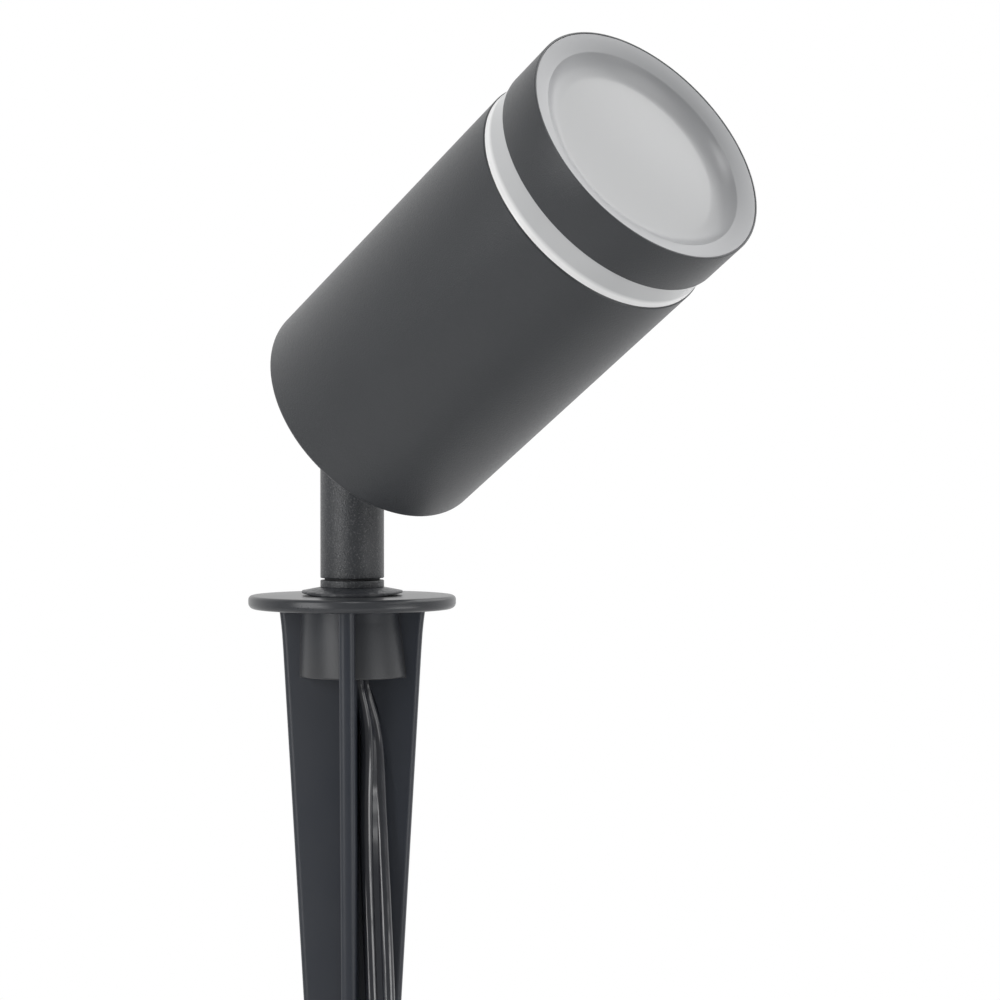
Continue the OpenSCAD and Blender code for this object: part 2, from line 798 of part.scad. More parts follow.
module stake() {
  color("#2e3238")
    difference() {
      union() {
        rotate_extrude()
          polygon(concat(
            [[0, 0]],
            arc([flange_r - flange_foot_r, flange_foot_r], flange_foot_r, -90, 0),
            arc([flange_r - flange_top_r, flange_t - flange_top_r], flange_top_r, 0, 90),
            [[0, flange_t]]
          ));
        rotate_extrude()
          polygon([
            [0, -boss_len], [0, flange_t / 2], [boss_r, flange_t / 2],
            [boss_r, flare_start_z], [boss_r + boss_flare, -boss_len]
          ]);
        intersection() {
          union() {
            for (a = [45 : 90 : 315]) rotate(a) fin();
            translate([0, 0, -stake_len]) cylinder(r = fin_t / 2 * sqrt(2), h = stake_len, $fn = 4);
          }
          rotate_extrude()
            polygon([
              [0, -stake_len], [tip_r, -stake_len], [tip_top_r, -shaft_len],
              [2 * fin_r, -shaft_len / 2], [2 * fin_r, flange_t / 2], [0, flange_t / 2]
            ]);
        }
      }
      translate([0, 0, -boss_len]) cylinder(r = boss_bore_r, h = boss_len);
      translate([0, 0, outlet_foot_z]) cord_outlet();
      hole(thread_r + loose_gap, 0, flange_t);
    }
}

// Rubber plug that sits on the fins in the mouth of the boss and grips the cord
module cord_gland() {
  color("#1c1d1f")
    translate([0, 0, -boss_len])
      rotate_extrude()
        polygon([
          [0, 0], [gland_r, 0], [gland_r, gland_t + gland_lip_h],
          [gland_r - gland_lip_t, gland_t + gland_lip_h],
          [gland_r - gland_lip_t, gland_t], [0, gland_t]
        ]);
}

module supply_wires() {
  up = [0, 0, 1];
  bend_y = -2.4;
  rise = nipple_foot_z - gland_top_z;
  color("#8a4a30")
    wire_pair([
      [wire_x, bend_y, gland_top_z],
      [wire_x, 0.95 * bend_y, gland_top_z + 0.15 * rise],
      [wire_x, 0.6 * bend_y, gland_top_z + 0.45 * rise],
      [wire_x, 0.2 * bend_y, gland_top_z + 0.75 * rise],
      [wire_x, 0, gland_top_z + 0.95 * rise],
      [wire_x, 0, nipple_top_z]
    ], wire_r, up, up);
}

module cord() {
  n = len(cord_route) - 1;
  path = [for (p = cord_route) [p[0], p[1], p[2]]];
  inner = headings(path);
  heading = [
    for (i = [0 : n])
      i == 0 ? [0, 0, -1] : i == n ? [cos(coil_heading), sin(coil_heading), 0] : inner[i]
  ];
  // The flat side turns with the heading in the bend, so the cord arrives standing on its edge.
  across = [
    for (i = [0 : n])
      let (lean = [cos(cord_route[i][3]), sin(cord_route[i][3]), 0])
      -heading[i][2] * lean + (lean * heading[i]) * [0, 0, 1]
  ];
  color("#17181a") swept(path, heading, across, cord_outline);
}

// The coil: turns that wind inwards beside each other, then a bend and a straight end for the connector
function coil_point(i) =
  let (sweep = coil_sweep * i / coil_rings, a = coil_a0 - sweep, r = coil_r - coil_step * sweep / 360)
  flat_point(coil_mid + r * [cos(a), sin(a)], coil_z);
coil_rings = round(rings_per_turn * coil_sweep / 360);
tail_points = [
  for (i = [1 : tail_rings])
    let (a = -tail_a - tail_turn * i / tail_rings)
    flat_point(tail_mid + tail_r * [cos(a), sin(a)], coil_z)
];
coil_path = concat(
  [for (i = [0 : coil_rings]) coil_point(i)],
  tail_points,
  [[connector_x, connector_y, coil_z]]
);

module cord_coil() {
  n = len(coil_path) - 1;
  inner = headings(coil_path);
  heading = [
    for (i = [0 : n])
      i == 0 ? [cos(coil_heading), sin(coil_heading), 0] : i >= n - 1 ? [-1, 0, 0] : inner[i]
  ];
  color("#17181a") swept(coil_path, heading, [for (p = coil_path) [0, 0, 1]], coil_outline);
}

// Least gap between points of the coil that are more than half a turn apart, less the cord's thickness
coil_gap = min([
  for (i = [0 : len(coil_path) - 1], j = [i + rings_per_turn / 2 : len(coil_path) - 1])
    norm(coil_path[i] - coil_path[j])
]) - cord_t;
coil_length = [
  for (i = 0, s = 0; i < len(coil_path) - 1; s = s + norm(coil_path[i + 1] - coil_path[i]), i = i + 1) s
];
echo(coil_gap = coil_gap, coil_length = coil_length[len(coil_length) - 1]);

module coil_ties() {
  inner_h = cord_w + 2 * tie_gap;
  color("#26282b")
    for (a = tie_angles) {
      sweep = (coil_a0 - a + 360) % 360;
      last = floor((coil_sweep - sweep) / 360);
      outer = coil_r - coil_step * sweep / 360 + core_r + tie_gap;
      inner = coil_r - coil_step * (sweep / 360 + last) - core_r - tie_gap;
      translate([coil_mid[0], coil_mid[1], coil_z]) rotate(a)
        difference() {
          translate([inner - tie_t, -tie_w / 2, -inner_h / 2 - tie_t])
            cube([outer - inner + 2 * tie_t, tie_w, inner_h + 2 * tie_t]);
          translate([inner, -tie_w, -inner_h / 2]) cube([outer - inner, 2 * tie_w, inner_h]);
        }
    }
}

// Moulded connector at the cord's far end: a tapered sleeve, a grip with ribs and a round metal barrel
module connector_body() {
  grip_r = connector_d / 2;
  sleeve_r = cord_w / 2 + 0.4;
  rib = 0.4;
  rib_count = 5;
  rib_margin = 2;
  rib_step = (connector_len - 2 * rib_margin) / rib_count;
  color("#17181a")
    translate([connector_x, connector_y, coil_z]) rotate([0, -90, 0])
      rotate_extrude()
        polygon(concat(
          [[0, 0], [sleeve_r, 0], [grip_r - rib, sleeve_len]],
          [
            for (i = [0 : rib_count - 1])
              for (p = [[grip_r, 0], [grip_r, 0.5], [grip_r - rib, 0.5], [grip_r - rib, 1]])
                [p[0], sleeve_len + rib_margin + rib_step * (i + p[1])]
          ],
          [[grip_r - rib, sleeve_len + connector_len], [0, sleeve_len + connector_len]]
        ));
}

module connector_barrel() {
  color("#c9ccd0")
    translate([connector_x - sleeve_len - connector_len, connector_y, coil_z]) rotate([0, -90, 0])
      ring(barrel_d / 2, barrel_bore / 2, 0, barrel_len);
}

head_housing();
front_bezel();
diffuser();
diffuser_seal();
heat_spreader();
led_board();
led_packages();
board_screws();
standoffs();
driver_board();
driver_choke();
driver_capacitors();
driver_chip();
driver_terminal();
led_wires();
head_wires();
knuckle_lug();
lug_gasket();
lug_washer();
lug_nut();
pivot_washer();
pivot_bolt();
bolt_washer();
stem();
stem_wires();
swivel_washer();
lock_collar();
threaded_nipple();
stake_gasket();
stake_washer();
stake_nut();
stake();
cord_gland();
supply_wires();
cord();
cord_coil();
coil_ties();
connector_body();
connector_barrel();
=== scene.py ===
import math

import bmesh
import bpy
from mathutils import Matrix, Vector


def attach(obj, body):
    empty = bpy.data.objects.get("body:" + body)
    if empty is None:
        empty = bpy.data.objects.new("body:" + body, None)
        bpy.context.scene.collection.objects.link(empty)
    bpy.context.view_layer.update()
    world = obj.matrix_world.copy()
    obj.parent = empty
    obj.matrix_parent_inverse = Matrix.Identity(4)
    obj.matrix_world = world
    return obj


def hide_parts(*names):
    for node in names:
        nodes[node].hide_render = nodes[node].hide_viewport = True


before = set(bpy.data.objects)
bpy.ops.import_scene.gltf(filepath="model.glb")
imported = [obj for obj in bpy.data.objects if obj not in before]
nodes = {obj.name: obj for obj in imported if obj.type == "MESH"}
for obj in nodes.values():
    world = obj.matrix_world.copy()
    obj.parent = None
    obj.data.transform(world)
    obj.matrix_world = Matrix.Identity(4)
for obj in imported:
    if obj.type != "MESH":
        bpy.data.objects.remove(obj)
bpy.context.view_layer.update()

scene = bpy.context.scene
scene.view_settings.view_transform = "Standard"

# Camera of the photograph
# A long lens at the height of the stem, level but for one degree, about forty degrees to the left of the
# lamp's front. Its place comes from the ellipses of the head and the width of the flange.
lens_data = bpy.data.cameras.new("photo_camera")
lens_data.sensor_width = 36
lens_data.lens = 104.2
lens_data.clip_start = 0.05
camera = bpy.data.objects.new("photo_camera", lens_data)
scene.collection.objects.link(camera)
camera.location = (-0.44658, -0.53361, 0.03795)
camera.rotation_euler = (math.radians(90 - 0.983), 0, math.radians(-42.85))
scene.camera = camera


# Studio
# A white sweep all round, dimmer on the camera's side, with soft boxes above, beside and in front of the
# lamp. The floor is a pale disc under the stake's point that takes the shadow and fades into the white.
class Value:
    """A socket of a finish's node tree. Arithmetic on it adds Math nodes."""

    def __init__(self, finish, socket):
        self.finish = finish
        self.socket = socket

    def math(self, operation, *others):
        return self.finish.node("Math", {"operation": operation}, dict(enumerate(others)))

    def __add__(self, other):
        return self.math("ADD", self, other)

    def __sub__(self, other):
        return self.math("SUBTRACT", self, other)

    def __rsub__(self, other):
        return self.math("SUBTRACT", other, self)

    def __mul__(self, other):
        return self.math("MULTIPLY", self, other)

    def __truediv__(self, other):
        return self.math("DIVIDE", self, other)

    def __rtruediv__(self, other):
        return self.math("DIVIDE", other, self)

    def __pow__(self, other):
        return self.math("POWER", self, other)

    def __rpow__(self, other):
        return self.math("POWER", other, self)

    def __gt__(self, other):
        return self.math("GREATER_THAN", self, other)

    def __lt__(self, other):
        return self.math("LESS_THAN", self, other)

    __radd__, __rmul__ = __add__, __mul__


class Finish:
    """A node tree: a material, or the world's."""

    def __init__(self, owner):
        owner.use_nodes = True
        self.owner = owner
        self.tree = owner.node_tree
        self.tree.nodes.clear()

    def node(self, kind, settings=None, inputs=None, output=0):
        """Adds a node with its settings and inputs, and gives one of its outputs."""
        made = self.tree.nodes.new("ShaderNode" + kind)
        for name, value in (settings or {}).items():
            if name == "stops":
                ramp = made.color_ramp.elements
                while len(ramp) < len(value):
                    ramp.new(0.5)
                for stop, (place, shade) in zip(ramp, value):
                    stop.position = place
                    stop.color = shade
            else:
                setattr(made, name, value)
        for name, value in (inputs or {}).items():
            if isinstance(value, Value):
                self.tree.links.new(value.socket, made.inputs[name])
            else:
                made.inputs[name].default_value = value
        return Value(self, made.outputs[output]) if made.outputs else None


def rgb(*levels):
    """A colour as it is read on a screen, from 0 to 255, as the linear colour of a shader."""
    linear = [((b / 255 + 0.055) / 1.055) ** 2.4 if b > 10 else b / 255 / 12.92 for b in levels]
    return (*linear, 1)


pure_white = (1, 1, 1, 1)
view_way = (0.68, 0.733, 0)
sky = bpy.data.worlds.new("studio")
scene.world = sky
room = Finish(sky)
looking = room.node("TexCoord", output="Generated")
behind = room.node("VectorMath", {"operation": "DOT_PRODUCT"}, {0: looking, 1: view_way}, output="Value")
far_side = room.node("MapRange", {"interpolation_type": "SMOOTHSTEP"}, {0: behind, 1: -0.5, 2: 0.6})
seen = room.node("LightPath", output="Is Camera Ray")
mirrored = room.node("LightPath", output="Is Glossy Ray")
through = room.node("LightPath", output="Is Transmission Ray")


def wall_light(near, far):
    """The sweep's light: one strength on the camera's side and another behind the lamp."""
    ends = []
    for strength in (near, far):
        ends.append(room.node("Background", inputs={"Color": pure_white, "Strength": strength}))
    return room.node("MixShader", inputs={0: far_side, 1: ends[0], 2: ends[1]})


white, shine, soft = wall_light(1, 1), wall_light(0.3, 1), wall_light(0.07, 0.6)
lit = room.node("MixShader", inputs={0: mirrored.math("MAXIMUM", mirrored, through), 1: soft, 2: shine})
room.node("OutputWorld", inputs={"Surface": room.node("MixShader", inputs={0: seen, 1: lit, 2: white})})

floor_mid, floor_r = (0, -0.03, -0.1602), 0.36
fade_from, fade_to, fade_least = 0.16, 0.34, 0.3
floor_mesh = bpy.data.meshes.new("floor")
floor = bpy.data.objects.new("floor", floor_mesh)
scene.collection.objects.link(floor)
sheet = bmesh.new()
bmesh.ops.create_circle(sheet, cap_ends=True, segments=96, radius=floor_r)
bmesh.ops.translate(sheet, verts=sheet.verts, vec=floor_mid)
sheet.to_mesh(floor_mesh)
sheet.free()
paper = Finish(bpy.data.materials.new("floor_paper"))
spot = paper.node("NewGeometry", output="Position")
off_middle = paper.node("VectorMath", {"operation": "SUBTRACT"}, {0: spot, 1: floor_mid})
from_middle = paper.node("VectorMath", {"operation": "LENGTH"}, {0: off_middle}, output="Value")
fade = paper.node("MapRange", {"interpolation_type": "SMOOTHSTEP"},
                  {0: from_middle, 1: fade_from, 2: fade_to, 3: fade_least, 4: 1})
seen = paper.node("LightPath", output="Is Camera Ray")
mirrored = paper.node("LightPath", output="Is Glossy Ray")
matt = paper.node("BsdfDiffuse", inputs={"Color": rgb(238, 238, 238)})
glow = paper.node("Emission", inputs={"Color": pure_white, "Strength": 1})
top_side = paper.node("MixShader", inputs={0: fade * seen + 0.5 * mirrored, 1: matt, 2: glow})
from_below = paper.node("NewGeometry", output="Backfacing")
clear = paper.node("BsdfTransparent")
sheet_look = paper.node("MixShader", inputs={0: from_below, 1: top_side, 2: clear})
paper.node("OutputMaterial", inputs={"Surface": sheet_look})
floor_mesh.materials.append(paper.owner)


def soft_box(name, place, target, size, power):
    """A rectangular soft lamp that faces a point."""
    lamp = bpy.data.lights.new(name, "AREA")
    lamp.shape = "RECTANGLE"
    lamp.size, lamp.size_y = size
    lamp.energy = power
    holder = bpy.data.objects.new(name, lamp)
    scene.collection.objects.link(holder)
    holder.location = place
    holder.rotation_euler = (Vector(target) - Vector(place)).to_track_quat("-Z", "Y").to_euler()


soft_box("key_box", (0.67, -0.296, 0.737), (0, -0.09, 0.1), (1.0, 1.0), 4.6)
soft_box("face_box", (0.595, -0.42, 0.757), (0, -0.097, 0.104), (0.12, 0.2), 0.64)
soft_box("left_box", (-0.85, -0.02, 0.16), (0, 0, 0.02), (0.45, 0.7), 4)
soft_box("right_box", (0.22, -0.8, 0.34), (0, 0, 0.02), (0.4, 0.4), 0.9)
soft_box("over_box", (-0.36, -0.46, 0.84), (0, -0.06, 0.08), (0.3, 0.3), 1.7)
soft_box("low_box", (0.26, -0.84, -0.24), (0, 0, -0.05), (0.5, 0.24), 1.7)
soft_box("strip_box", (-0.81, -0.25, -0.16), (0, 0, -0.05), (0.1, 0.22), 0.42)


# Cord
# Flat twin low-voltage lead: two round cores in one glossy black sheath, joined by a thin web. It leaves
# the boss between two fins, runs down beside the stake and is put away as a coil on the ground, out of
# view. Its route is in millimetres, with the turn of its flat side in degrees.
MM = 0.001
core_r, core_x = 1.58, 2.0
core_points, core_from, core_by = 16, -150, 20
cord_route = [
    (0, -3.3, -16.35, 25), (0, -3.65, -19, 25), (0, -4.6, -22, 24), (0, -5.75, -25, 22),
    (0, -6.85, -29, 17), (0, -7.5, -35, 8), (0, -7.7, -46, -8), (0, -8.2, -58, -21), (0, -8.9, -70, -30),
    (0, -9.7, -84, -35), (0, -10.4, -98, -34), (0, -10.8, -112, -32), (0, -11, -122, -30),
    (0.1, -11.1, -128, -30), (0.9, -11.5, -134.4, -30), (3.3, -12.9, -141.2, -30),
    (7.1, -15.1, -147, -30), (12.1, -18, -151.4, -30), (17.9, -21.4, -154.2, -30),
    (24.2, -25.1, -155.2, -30),
]


def smooth_route(points, steps):
    """More points on a smooth curve through the given ones."""
    def at(i):
        return Vector(points[min(max(i, 0), len(points) - 1)])
    made = []
    for i in range(len(points) - 1):
        a, b, c, d = at(i - 1), at(i), at(i + 1), at(i + 2)
        for k in range(steps):
            t = k / steps
            made.append(0.5 * (2 * b + (c - a) * t + (2 * a - 5 * b + 4 * c - d) * t ** 2
                               + (3 * b - a - 3 * c + d) * t ** 3))
    return made + [at(len(points) - 1)]


def cord_across(heading, turn):
    """Direction of the cord's flat side: level on the way down, upright where it lies on the ground."""
    lean = Vector((math.cos(math.radians(turn)), math.sin(math.radians(turn)), 0))
    return -heading.z * lean + lean.dot(heading) * Vector((0, 0, 1))


def polar(mid, r, angle, z):
    """A point at a radius and an angle in degrees from a middle."""
    a = math.radians(angle)
    return Vector((mid.x + r * math.cos(a), mid.y + r * math.sin(a), z))


coil_r, coil_step, coil_turns, coil_heading = 52, 3.8, 5, -30
coil_z = cord_route[-1][2]
tail_r, tail_a, tail_straight = 16, -10, 7.2
route_steps, turn_rings, tail_rings = 6, 72, 24
coil_a0 = coil_heading + 90
coil_way = Vector((-math.sin(math.radians(coil_heading)), math.cos(math.radians(coil_heading))))
coil_mid = Vector(cord_route[-1][:2]) - coil_r * coil_way
coil_sweep = 360 * coil_turns + coil_a0 + tail_a
coil_end_r = coil_r - coil_step * coil_sweep / 360

free = smooth_route(cord_route, route_steps)
cord_path = [Vector(p[:3]) for p in free]
cord_turns = [p[3] for p in free]
coil_rings = round(turn_rings * coil_sweep / 360)
for i in range(1, coil_rings + 1):
    sweep = coil_sweep * i / coil_rings
    cord_path.append(polar(coil_mid, coil_r - coil_step * sweep / 360, coil_a0 - sweep, coil_z))
tail_way = Vector((math.cos(math.radians(-tail_a)), math.sin(math.radians(-tail_a))))
tail_mid = coil_mid + (coil_end_r - tail_r) * tail_way
for i in range(1, tail_rings + 1):
    cord_path.append(polar(tail_mid, tail_r, -tail_a - (90 - tail_a) * i / tail_rings, coil_z))
connector_at = Vector((tail_mid.x - tail_straight, tail_mid.y - tail_r, coil_z))
cord_path += [connector_at.lerp(cord_path[-1], 0.5), connector_at]

cord_outline = []
for side in (1, -1):
    for k in range(core_points):
        a = math.radians(core_from + core_by * k)
        cord_outline.append((side * (core_x + core_r * math.cos(a)), side * core_r * math.sin(a)))


def skin(rings, n, closed=False):
    """Faces between rings of n points each, in a row or in a closed round."""
    faces = []
    for i in range(rings if closed else rings - 1):
        here, there = i * n, (i + 1) % rings * n
        for j in range(n):
            k = (j + 1) % n
            faces.append((here + j, here + k, there + k, there + j))
    return faces


def tube(path, outline, across, heads):
    """Points and faces of a closed tube that carries an outline along a path."""
    points, n = [], len(outline)
    for i, p in enumerate(path):
        w = across[i] - across[i].dot(heads[i]) * heads[i]
        w.normalize()
        v = heads[i].cross(w)
        points += [p + x * w + y * v for x, y in outline]
    ends = [tuple(reversed(range(n))), tuple(range(len(points) - n, len(points)))]
    return points, skin(len(path), n) + ends


def headings(path):
    """The direction of a path at each of its points."""
    last = len(path) - 1
    return [(path[min(i + 1, last)] - path[max(i - 1, 0)]).normalized() for i in range(last + 1)]


def face_out(mesh):
    """Turns the faces of a mesh outwards."""
    clean = bmesh.new()
    clean.from_mesh(mesh)
    bmesh.ops.recalc_face_normals(clean, faces=clean.faces)
    clean.to_mesh(mesh)
    clean.free()


def smooth(mesh, sharp=40):
    """Shades a mesh smooth, but for the edges that bend by more than some degrees."""
    mesh.polygons.foreach_set("use_smooth", [True] * len(mesh.polygons))
    mesh.set_sharp_from_angle(angle=math.radians(sharp))


def build(name, points, faces, finish, body, replaced, place=None, sharp=40):
    """A piece of the lamp from points in millimetres and faces."""
    mesh = bpy.data.meshes.new(name)
    mesh.from_pydata([p * MM for p in map(Vector, points)], [], faces)
    if place is not None:
        mesh.transform(place)
    face_out(mesh)
    smooth(mesh, sharp)
    mesh.materials.append(finish.owner)
    piece = bpy.data.objects.new(name, mesh)
    scene.collection.objects.link(piece)
    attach(piece, body)
    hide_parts(*replaced)
    return piece


def surface(name, **constants):
    """A new material with its shader, whose steady values are given here."""
    finish = Finish(bpy.data.materials.new(name))
    shader = finish.node("BsdfPrincipled", inputs=constants)
    finish.node("OutputMaterial", inputs={"Surface": shader})
    finish.shader = shader.socket.node
    finish.at = finish.node("TexCoord", output="Object")
    return finish


def feed(finish, **sockets):
    """Links varying values to a finish's shader."""
    for name, value in sockets.items():
        finish.tree.links.new(value.socket, finish.shader.inputs[name.replace("_", " ")])


def grain(finish, size, detail=2, spread=0.5):
    """Noise with grains of a size in millimetres."""
    return finish.node("TexNoise", inputs={
        "Vector": finish.at, "Scale": 1000 / size, "Detail": detail, "Roughness": spread})


def tint(finish, mask, low, high):
    """A colour between two, by a mask from 0 to 1."""
    return finish.node("Mix", {"data_type": "RGBA", "clamp_factor": False}, {0: mask, 6: low, 7: high},
                       output=2)


def bump(finish, height, depth):
    """Relief of a depth in millimetres."""
    return finish.node("Bump", inputs={"Strength": 1.0, "Distance": depth * MM, "Height": height})


sheath = surface("cord_sheath", IOR=1.66)
sheath_wave = grain(sheath, 9, 1)
feed(sheath, Base_Color=tint(sheath, sheath_wave, rgb(35, 37, 42), rgb(45, 47, 53)),
     Roughness=0.12 + 0.08 * grain(sheath, 2, 2),
     Normal=bump(sheath, sheath_wave, 0.2))
heads = headings(cord_path)
heads[0] = Vector((0, 0, -1))
heads[-1] = heads[-2] = Vector((-1, 0, 0))
across = [Vector((0, 0, 1)) for _ in heads]
for i in range(len(free) - 1):
    across[i] = cord_across(heads[i], cord_turns[i])
points, faces = tube(cord_path, cord_outline, across, heads)
lead = build("lead", points, faces, sheath, "base", ["cord", "cord_coil"])

# Connector
# A round plug moulded on the lead's far end in the sheath's own plastic, with a tapered sleeve and a
# ribbed grip. Its plated metal barrel stands out of the grip's end.
grip_foot_r, grip_r, rib_r = 4.0, 4.4, 4.8
grip_len, sleeve_len, rib_from, rib_pitch, ribs = 25, 9, 11, 2.4, 5
barrel_r, barrel_bore, barrel_end = 2.75, 1.25, 34


def turned(profile, steps=96):
    """Points and faces of a turned shape from (radius, height) points in millimetres."""
    points, faces, rows = [], [], []
    for r, z in profile:
        if rows and (r, z) == profile[0]:
            rows.append(rows[0])
        elif r < 1e-6:
            rows.append([len(points)])
            points.append((0, 0, z))
        else:
            rows.append(range(len(points), len(points) + steps))
            points += [(r * math.cos(2 * math.pi * k / steps), r * math.sin(2 * math.pi * k / steps), z)
                       for k in range(steps)]
    for a, b in zip(rows, rows[1:]):
        for k in range(steps):
            m = (k + 1) % steps
            corner = [a[k % len(a)], a[m % len(a)], b[m % len(b)], b[k % len(b)]]
            face = list(dict.fromkeys(corner))
            if len(face) > 2:
                faces.append(face)
    return points, faces


def eased(outline, steps=5):
    """Outline points with the third number of each as the rounding of its corner."""
    made = []
    for i, (x, y, r) in enumerate(outline):
        p = Vector((x, y))
        if r == 0 or i in (0, len(outline) - 1):
            made.append((x, y))
            continue
        a, b = Vector(outline[i - 1][:2]) - p, Vector(outline[i + 1][:2]) - p
        half = a.angle(b) / 2
        reach = min(r / math.tan(half), 0.49 * a.length, 0.49 * b.length)
        a.normalize()
        b.normalize()
        mid = p + (a + b).normalized() * (reach / math.cos(half))
        s, e = p + a * reach - mid, p + b * reach - mid
        bow = s.angle(e)
        for k in range(steps + 1):
            t = k / steps
            q = mid + (s * math.sin((1 - t) * bow) + e * math.sin(t * bow)) / math.sin(bow)
            made.append((q.x, q.y))
    return made


grip_profile = [(0, 0, 0), (grip_foot_r, 0, 0.4), (grip_r, sleeve_len, 1.0)]
for k in range(ribs):
    z = rib_from + rib_pitch * k
    grip_profile += [(grip_r, z, 0.15), (rib_r, z + 0.25, 0.2),
                     (rib_r, z + 1.0, 0.2), (grip_r, z + 1.25, 0.15)]
grip_profile += [(grip_r, grip_len, 0.5), (0, grip_len, 0)]
lie_along = Matrix.Translation(connector_at * MM) @ Matrix.Rotation(-math.pi / 2, 4, "Y")
points, faces = turned(eased(grip_profile, 3), 48)
grip = build("connector_grip", points, faces, sheath, "base", ["connector_body"], lie_along)

plating = surface("connector_plating", Metallic=1.0)
feed(plating, Base_Color=tint(plating, grain(plating, 1.5), rgb(196, 196, 190), rgb(224, 224, 218)),
     Roughness=0.2 + 0.15 * grain(plating, 0.6))
barrel_profile = [
    (0, grip_len, 0), (barrel_r, grip_len, 0), (barrel_r, barrel_end, 0.35),
    (barrel_bore, barrel_end, 0.25), (barrel_bore, grip_len + 1, 0), (0, grip_len + 1, 0)]
points, faces = turned(eased(barrel_profile, 3), 40)
barrel = build("connector_barrel_plated", points, faces, plating, "base", ["connector_barrel"],
               lie_along)

# Coil ties
# Two closed bands of soft matt black plastic, slipped over the turns of the put-away lead on two sides of
# the coil. They keep it from springing open.
tie_gap, tie_half_h, tie_corner = 0.35, 3.95, 1.0
tie_section = ((0, -2.5), (0.6, -2.5), (0.85, -2.2), (0.85, 2.2), (0.6, 2.5), (0, 2.5))
band = surface("tie_band")
feed(band, Base_Color=tint(band, grain(band, 0.8), rgb(24, 25, 27), rgb(38, 39, 42)),
     Roughness=0.55 + 0.25 * grain(band, 0.5), Normal=bump(band, grain(band, 0.35), 0.05))
points, faces = [], []
for angle in (-60, 150):
    sweep = (coil_a0 - angle + 360) % 360
    last = math.floor((coil_sweep - sweep) / 360)
    outer = coil_r - coil_step * sweep / 360 + core_r + tie_gap
    inner = coil_r - coil_step * (sweep / 360 + last) - core_r - tie_gap
    loop = eased([
        (inner, 0, 0), (inner, tie_half_h, tie_corner), (outer, tie_half_h, tie_corner),
        (outer, -tie_half_h, tie_corner), (inner, -tie_half_h, tie_corner), (inner, 0, 0)], 4)[:-1]
    turn = Matrix.Rotation(math.radians(angle), 4, "Z")
    turn.translation = (coil_mid.x, coil_mid.y, coil_z)
    mid = Vector(((inner + outer) / 2, 0))
    start, n = len(points), len(loop)
    for i, (x, y) in enumerate(loop):
        run = Vector(loop[(i + 1) % n]) - Vector(loop[i - 1])
        out = Vector((-run.y, run.x)).normalized()
        if out.dot(Vector((x, y)) - mid) < 0:
            out = -out
        for depth, side in tie_section:
            q = Vector((x, y)) + out * depth
            points.append(turn @ Vector((q.x, side, q.y)))
    faces += [tuple(start + i for i in face) for face in skin(n, len(tie_section), closed=True)]
ties = build("coil_bands", points, faces, band, "base", ["coil_ties"])

# Stake
# One moulding of tough blue-black plastic: a round flange that stops at the ground, a hollow boss below
# it, a little aslant, and four tapering fins with rounded edges that cross in the middle and end in a
# point. Light and shade are painted into its colour: the flange is painted paler than the fins, as lit,
# and the boss is painted darker under the flange and paler towards its bottom, where light falls.
flange_r, flange_t, flange_hole = 24.9, 3.2, 5.2
boss_r, boss_rim_r, boss_bore, boss_end = 11.9, 12.8, 10.7, -16.35
boss_root, boss_neck, hollow_top, outlet_end = 0.5, -3, 0.7, -34
boss_off, boss_slope, boss_flare, painted_boss_r, painted_boss_end = 0.35, 0.034, 0.055, 12.05, -16.6
fin_r, fin_t, fin_edge, fin_lean = 17.2, 3.6, 1.4, math.tan(math.radians(3.3))
stake_len, point_len, point_r = 160, 40, 1.0
fin_sweep, fin_sweep_h, thin_share, thin_len = 0.4, 9, 0.35, 30
fin_levels = [0.6, -0.2, -0.7, -1.4, -2.4, -4, -6, -10, -17, -30, -50, -75, -100,
              -118, -120, -122, -130, -140, -150, -157, -160]

moulded = surface("stake_moulding", IOR=1.46)
stipple, cloud = grain(moulded, 0.5, 2), grain(moulded, 18, 3)
east, north, height = [moulded.node("SeparateXYZ", inputs={0: moulded.at}, output=way) for way in "XYZ"]
on_flange = height > 0
boss_shift = boss_off * MM + boss_slope * height
east, north = east + boss_shift, north - boss_shift
outward = (east * east + north * north) ** 0.5 + boss_flare * height
on_boss = (height > painted_boss_end * MM) * (outward < painted_boss_r * MM) * (1 - on_flange)
# Painted light and shade: the flange paler than the fins, the boss darker under the flange and paler
# towards its bottom.
painted_light_shade = 1.4 * on_flange + on_boss * (0.5 - 80 * height)
feed(moulded, Base_Color=tint(moulded, 0.15 + 0.7 * cloud + painted_light_shade, rgb(30, 36, 47), rgb(46, 49, 55)),
     Roughness=0.32 + 0.1 * cloud + 0.06 * stipple - 0.1 * on_flange,
     Normal=bump(moulded, stipple * 0.5 + cloud, 0.02))


def fin_reach(z):
    """Radius of a fin's outer edge, with the small sweep where it meets the flange."""
    straight = fin_r + fin_lean * z
    point_top_r = fin_r - (stake_len - point_len) * fin_lean
    pointed = point_r + (stake_len + z) * (point_top_r - point_r) / point_len
    return min(straight, pointed) + fin_sweep * max(0, 1 + z / fin_sweep_h) ** 2


def solid(name, mesh):
    """A loose solid for cutting and joining, with its faces turned outwards."""
    face_out(mesh)
    piece = bpy.data.objects.new(name, mesh)
    scene.collection.objects.link(piece)
    return piece


def worked(piece, steps):
    """The mesh of a loose solid after its steps of joining and cutting, which use up their tools."""
    for operation, tool in steps:
        cut = piece.modifiers.new("cut", "BOOLEAN")
        cut.operation, cut.object, cut.solver = operation, tool, "EXACT"
    bpy.context.view_layer.update()
    mesh = bpy.data.meshes.new_from_object(piece.evaluated_get(bpy.context.evaluated_depsgraph_get()))
    piece.modifiers.clear()
    for _, tool in steps:
        bpy.data.objects.remove(tool)
    return mesh


